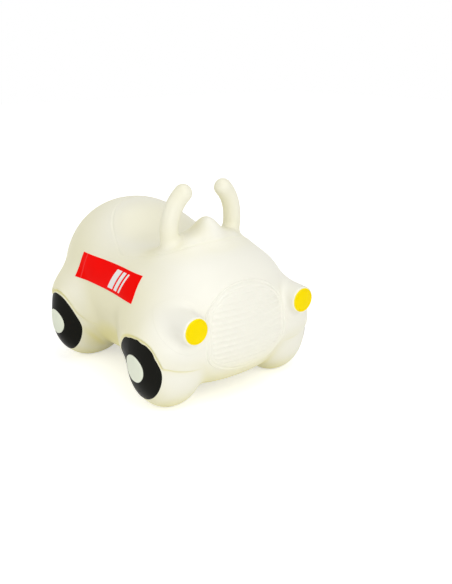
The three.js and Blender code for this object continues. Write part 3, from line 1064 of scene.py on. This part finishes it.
NOSE_HALF_WIDTH = 0.094
NOSE_UPPER = 0.152
NOSE_RISE = 0.07
NOSE_LOWER = 0.11
NOSE_DROP = 0.053
NOSE_SINK = 0.0004
NOSE_THICKNESS = 0.0015
FRAME_RIDGES = ((0.003, 0.0016, 1.0), (0.01, 0.0018, 0.8))  # inset, half width, share
RIB_PITCH = 0.0105
RIB_LOWEST = 0.074
RIB_COUNT = 13
RIB_HALF = 0.0026
RIB_INSET = (0.0125, 0.0165)
NOSE_PANEL_SHARE = 0.12
NOSE_EDGE = 0.0025
NOSE_RIM = 0.002
NOSE_GRID = (150, 220)


def nose_reach(z):
    """How far a height is up the round top or down the round bottom of the nose."""
    return np.maximum(z - NOSE_UPPER, 0) / NOSE_RISE, np.maximum(NOSE_LOWER - z, 0) / NOSE_DROP


def nose_inset(y, z):
    """How far inside the outline of the ribbed nose a place lies."""
    up, down = nose_reach(z)
    reach = np.sqrt((y / NOSE_HALF_WIDTH) ** 2 + up ** 2 + down ** 2) + TINY
    slope = (y / NOSE_HALF_WIDTH ** 2) ** 2 + (up / NOSE_RISE) ** 2 + (down / NOSE_DROP) ** 2
    return (1 - reach) * reach / (np.sqrt(slope) + TINY)


def nose_rise(y, z, height):
    """How far the nose stands off the skin: two frame ridges, and level ribs inside them."""
    inset = nose_inset(y, z)
    ridges = sum(share * ridge(inset - at, half) for at, half, share in FRAME_RIDGES)
    rib = np.round((z - RIB_LOWEST) / RIB_PITCH).clip(0, RIB_COUNT - 1)
    ribs = ridge(z - RIB_LOWEST - rib * RIB_PITCH, RIB_HALF)
    ribs *= smooth_step(*RIB_INSET, inset)
    rise = height * (NOSE_PANEL_SHARE + ridges + ribs)
    sink = NOSE_SINK * (1 - smooth_step(0, NOSE_RIM, inset))
    return rise * smooth_step(0, NOSE_EDGE, inset) - sink


class HOPPER_OT_make_nose(bpy.types.Operator):
    """Lays the ribbed panel on the nose"""

    bl_idname = "hopper.make_nose"
    bl_label = "Make nose"

    def execute(self, context):
        height = context.scene.hopper_sizes.rib_relief
        bottom, top = NOSE_LOWER - NOSE_DROP, NOSE_UPPER + NOSE_RISE

        def place(across, along):
            z = bottom + (top - bottom) * along
            up, down = nose_reach(z)
            half = NOSE_HALF_WIDTH * np.sqrt(np.clip(1 - up ** 2 - down ** 2, 0, 1))
            y = (2 * across - 1) * half
            start = np.stack([np.full_like(y, CAD_BOX[1][0] * OUTSIDE), y, z], axis=1)
            return lifted(drape(start, (1, 0, 0)), nose_rise(y, z, height))

        nose = grid_piece("ribbed_nose", *NOSE_GRID, place)
        thicken(nose, NOSE_THICKNESS, (1, 0, 0))
        # The nose's vinyl gets the same painted shade as the skin
        mark_shade(nose, Relief(context.scene.hopper_sizes))
        dress(nose, "ivory_vinyl", "skin_vinyl", "body")
        return {"FINISHED"}


# Painted wheels

TYRE_WAVER_RANGE = (0.3, 0.8)
TYRE_INNER_SHARE = 0.94
TYRE_RIM = (0.94, 1)
TYRE_RIM_DROP = 1.6
TYRE_GRID = (180, 44)
HUB_HEIGHT = 2.2
HUB_RIM = (0.9, 1)
HUB_RIM_DROP = 2.0
HUB_GRID = (96, 24)
FILM_DEPTH = 2.5


def coat_on(wheel, inner, outer, relief, rise):
    """What lays out a coat of paint on the skin, from a radius to an outline round a wheel."""
    def place(across, along):
        angle = across * FULL_TURN
        radius = inner + (outer(angle) - inner) * along
        points = round_wheel(wheel, angle, radius)
        return lifted(points, relief.lift(points) + rise(along))
    return place


def wavering(outline):
    """An outline whose upper edge wavers as a hand-masked one does."""
    def waved(angle):
        waver = sum(size * np.sin(count * angle + turn) for count, size, turn in TYRE_WAVES)
        return outline(angle) + waver * smooth_step(*TYRE_WAVER_RANGE, np.sin(angle))
    return waved


class HOPPER_OT_make_wheels(bpy.types.Operator):
    """Paints the tyres and hubs on the wheel bulges"""

    bl_idname = "hopper.make_wheels"
    bl_label = "Make wheels"

    def execute(self, context):
        sizes = context.scene.hopper_sizes
        film = sizes.paint_film
        relief = Relief(sizes)

        def tyre_rise(along):
            return film * (1 - TYRE_RIM_DROP * smooth_step(*TYRE_RIM, along))

        def hub_rise(along):
            return film * (HUB_HEIGHT - HUB_RIM_DROP * smooth_step(*HUB_RIM, along) ** 2)

        for wheel in wheels():
            outer = wavering(wheel.outline) if wheel.end == "front" else wheel.outline
            inner = TYRE_INNER_SHARE * wheel.hub_radius
            tyre = coat_on(wheel, inner, outer, relief, tyre_rise)
            hub = coat_on(wheel, 0, lambda angle: wheel.hub_radius, relief, hub_rise)
            coats = (
                ("tyre", TYRE_GRID, tyre, "black_paint"), ("hub", HUB_GRID, hub, "grey_paint"),
            )
            for name, grid, place, paint in coats:
                coat = grid_piece(f"{name}_paint_{wheel.at}", *grid, place)
                thicken(coat, FILM_DEPTH * film, (0, wheel.side, 0))
                dress(coat, paint, f"{name}_paint", "body", f"{name}_{wheel.at}")
        return {"FINISHED"}


# Stickers

STICKER_GRID = (160, 36)
STICKER_DEPTH = 2


class HOPPER_OT_make_stickers(bpy.types.Operator):
    """Lays a sticker on each flank"""

    bl_idname = "hopper.make_stickers"
    bl_label = "Make stickers"

    def execute(self, context):
        film = context.scene.hopper_sizes.sticker_film
        for name, side in SIDES.items():
            low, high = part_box(f"side_sticker_{name}")

            def place(across, along):
                x = low.x + (high.x - low.x) * across
                z = low.z + (high.z - low.z) * along
                crease = ridge(across - STICKER_CREASE, STICKER_CREASE_HALF)
                return lifted(drape_aside(side, x, z), film + STICKER_CREASE_RISE * crease)

            sticker = grid_piece(f"sticker_{name}", *STICKER_GRID, place)
            thicken(sticker, STICKER_DEPTH * film, (0, side, 0))
            dress(sticker, "red_film", "sticker_film", "body", f"side_sticker_{name}")
        return {"FINISHED"}


# The air valve

class HOPPER_OT_make_valve(bpy.types.Operator):
    """Turns the valve's seat in the tail and the stopper that closes it"""

    bl_idname = "hopper.make_valve"
    bl_label = "Make valve"

    def execute(self, context):
        tail = valve_place()
        low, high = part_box("valve_stopper")
        head = (high.y - low.y) / 2
        seat_profile = [
            (0, 0.015), (0.0085, 0.015), (0.0098, 0.014), (0.01, 0.005),
            (0.0105, 0.002), (0.0136, 0.0018), (0.0138, 0.0006), (0.013, -0.0004),
            (0.0112, -0.0006), (head + 0.0006, -0.0002), (head + 0.0003, 0.0006),
            (head + 0.0003, 0.0021), (0.007, 0.0022), (0.0047, 0.0022), (0.0042, 0.003),
            (0.0042, 0.013), (0, 0.013),
        ]
        seat = turned_piece("valve_seat", seat_profile, tail)
        dress(seat, "ivory_vinyl", "skin_vinyl", "body")
        knob = low.x - tail[0]
        stopper_profile = [
            (0, knob), (0.0028, knob + 0.0001), (0.0038, knob + 0.0008),
            (0.0036, knob + 0.0022), (0.0044, knob + 0.0027), (0.007, knob + 0.0027),
            (head - 0.0004, knob + 0.0031), (head, knob + 0.004), (head - 0.0003, 0.0016),
            (0.0045, 0.0017), (0.0039, 0.0022), (0.0036, 0.008), (0.0034, 0.0105),
            (0.002, 0.0114), (0, 0.0115),
        ]
        stopper = turned_piece("air_stopper", stopper_profile, tail)
        dress(stopper, "white_plastic", "stopper_plastic", "valve_stopper", "valve_stopper")
        return {"FINISHED"}


# The stage

CAMERA_PLACE = (1.1149, -0.7595, 0.5994)
CAMERA_AZIMUTH = 50.7036
CAMERA_ELEVATION = 19.0329
FOCAL_PIXELS = 700
PHOTO_SIZE = (452, 584)
LIGHT_AIM = (0, 0, 0.15)
STUDIO_LIGHTS = {  # place, size, power
    "key": ((2.2, 0.1, 1.3), 1.6, 14),
    "low": ((1.7, -1.2, 0.3), 1.2, 9),
    "side": ((-0.6, -2.3, 1.2), 1.8, 8.5),
    "top": ((0.2, 0.1, 2.7), 2.2, 16),
}
AMBIENT = 0.52
FLOOR_SIZE = 14
FLOOR_ROUGHNESS = 0.9
FLOOR_SHADE = 0.9
FLOOR_GLOW = (0.48, 0.7)
GLOW_REACH = (0.5, 1.5)


def background_rays(tree):
    """1 for the rays that show the background: seen directly, mirrored or through glass."""
    path = add_node(tree, "LightPath")
    seen = math_node(tree, "MAXIMUM", path.outputs["Is Camera Ray"], path.outputs["Is Glossy Ray"])
    return math_node(tree, "MAXIMUM", seen, path.outputs["Is Transmission Ray"])


def make_floor():
    """A white floor that shows the shadow, and glows into the background away from the car."""
    deselect_all()
    bpy.ops.mesh.primitive_plane_add(size=FLOOR_SIZE)
    floor = newest("floor")
    finish, tree, shader = new_finish("white_floor", shine=0)
    shader.inputs["Base Color"].default_value = opaque((FLOOR_SHADE,) * 3)
    shader.inputs["Roughness"].default_value = FLOOR_ROUGHNESS
    shader.inputs["Emission Color"].default_value = (1, 1, 1, 1)
    place = add_node(tree, "TexCoord").outputs["Object"]
    away = add_node(tree, "VectorMath", {0: place}, operation="LENGTH").outputs["Value"]
    glow = ranged(tree, away, *GLOW_REACH, *FLOOR_GLOW)
    shown = math_node(tree, "MULTIPLY", background_rays(tree), glow)
    feed(tree, shader.inputs["Emission Strength"], shown)
    floor.data.materials.append(finish)


def make_light(name, place, size, power):
    """A square light that shines at the middle of the car."""
    bpy.ops.object.light_add(type="AREA", location=place)
    light = newest(name)
    light.data.size = size
    light.data.energy = power
    way = Vector(LIGHT_AIM) - Vector(place)
    light.rotation_euler = way.to_track_quat("-Z", "Y").to_euler()


def make_background(scene):
    """Plain white where it is seen, and a softer light from all round."""
    world = scene.world = bpy.data.worlds.new("studio")
    world.use_nodes = True
    tree = world.node_tree
    background = tree.nodes["Background"]
    background.inputs["Color"].default_value = (1, 1, 1, 1)
    strength = ranged(tree, background_rays(tree), 0, 1, AMBIENT, 1)
    feed(tree, background.inputs["Strength"], strength)


def make_camera(scene):
    """The camera that was fitted to the photo."""
    bpy.ops.object.camera_add(location=CAMERA_PLACE)
    camera = bpy.context.object
    tilt = QUARTER_TURN - math.radians(CAMERA_ELEVATION)
    camera.rotation_euler = (tilt, 0, math.radians(CAMERA_AZIMUTH))
    camera.data.lens = FOCAL_PIXELS / max(PHOTO_SIZE) * camera.data.sensor_width
    scene.camera = camera


class HOPPER_OT_make_stage(bpy.types.Operator):
    """Sets out the floor, the lights and the camera"""

    bl_idname = "hopper.make_stage"
    bl_label = "Make stage"

    def execute(self, context):
        make_floor()
        for name, light in STUDIO_LIGHTS.items():
            make_light(name, *light)
        make_background(context.scene)
        make_camera(context.scene)
        context.scene.view_settings.view_transform = "Standard"
        return {"FINISHED"}


class HOPPER_PT_panel(bpy.types.Panel):
    """Lists the sizes, the colours and the steps that make the hopper"""

    bl_idname = "HOPPER_PT_panel"
    bl_label = "Hopper Car"
    bl_space_type = "VIEW_3D"
    bl_region_type = "UI"
    bl_category = "Hopper"

    def draw(self, context):
        for group in (context.scene.hopper_sizes, context.scene.hopper_colours):
            for name in type(group).__annotations__:
                self.layout.prop(group, name)
        for step in STEPS:
            self.layout.operator(step.bl_idname)


STEPS = (
    HOPPER_OT_make_stage, HOPPER_OT_make_skin, HOPPER_OT_make_horns, HOPPER_OT_make_lamps,
    HOPPER_OT_make_nose, HOPPER_OT_make_wheels, HOPPER_OT_make_stickers, HOPPER_OT_make_valve,
)
CLASSES = (HopperSizes, HopperColours, *STEPS, HOPPER_PT_panel)


def register():
    for each in CLASSES:
        bpy.utils.register_class(each)
    bpy.types.Scene.hopper_sizes = bpy.props.PointerProperty(type=HopperSizes)
    bpy.types.Scene.hopper_colours = bpy.props.PointerProperty(type=HopperColours)


def unregister():
    del bpy.types.Scene.hopper_colours
    del bpy.types.Scene.hopper_sizes
    for each in reversed(CLASSES):
        bpy.utils.unregister_class(each)


def main():
    register()
    for step in STEPS:
        group, name = step.bl_idname.split(".")
        getattr(getattr(bpy.ops, group), name)()


if __name__ == "__main__":
    main()
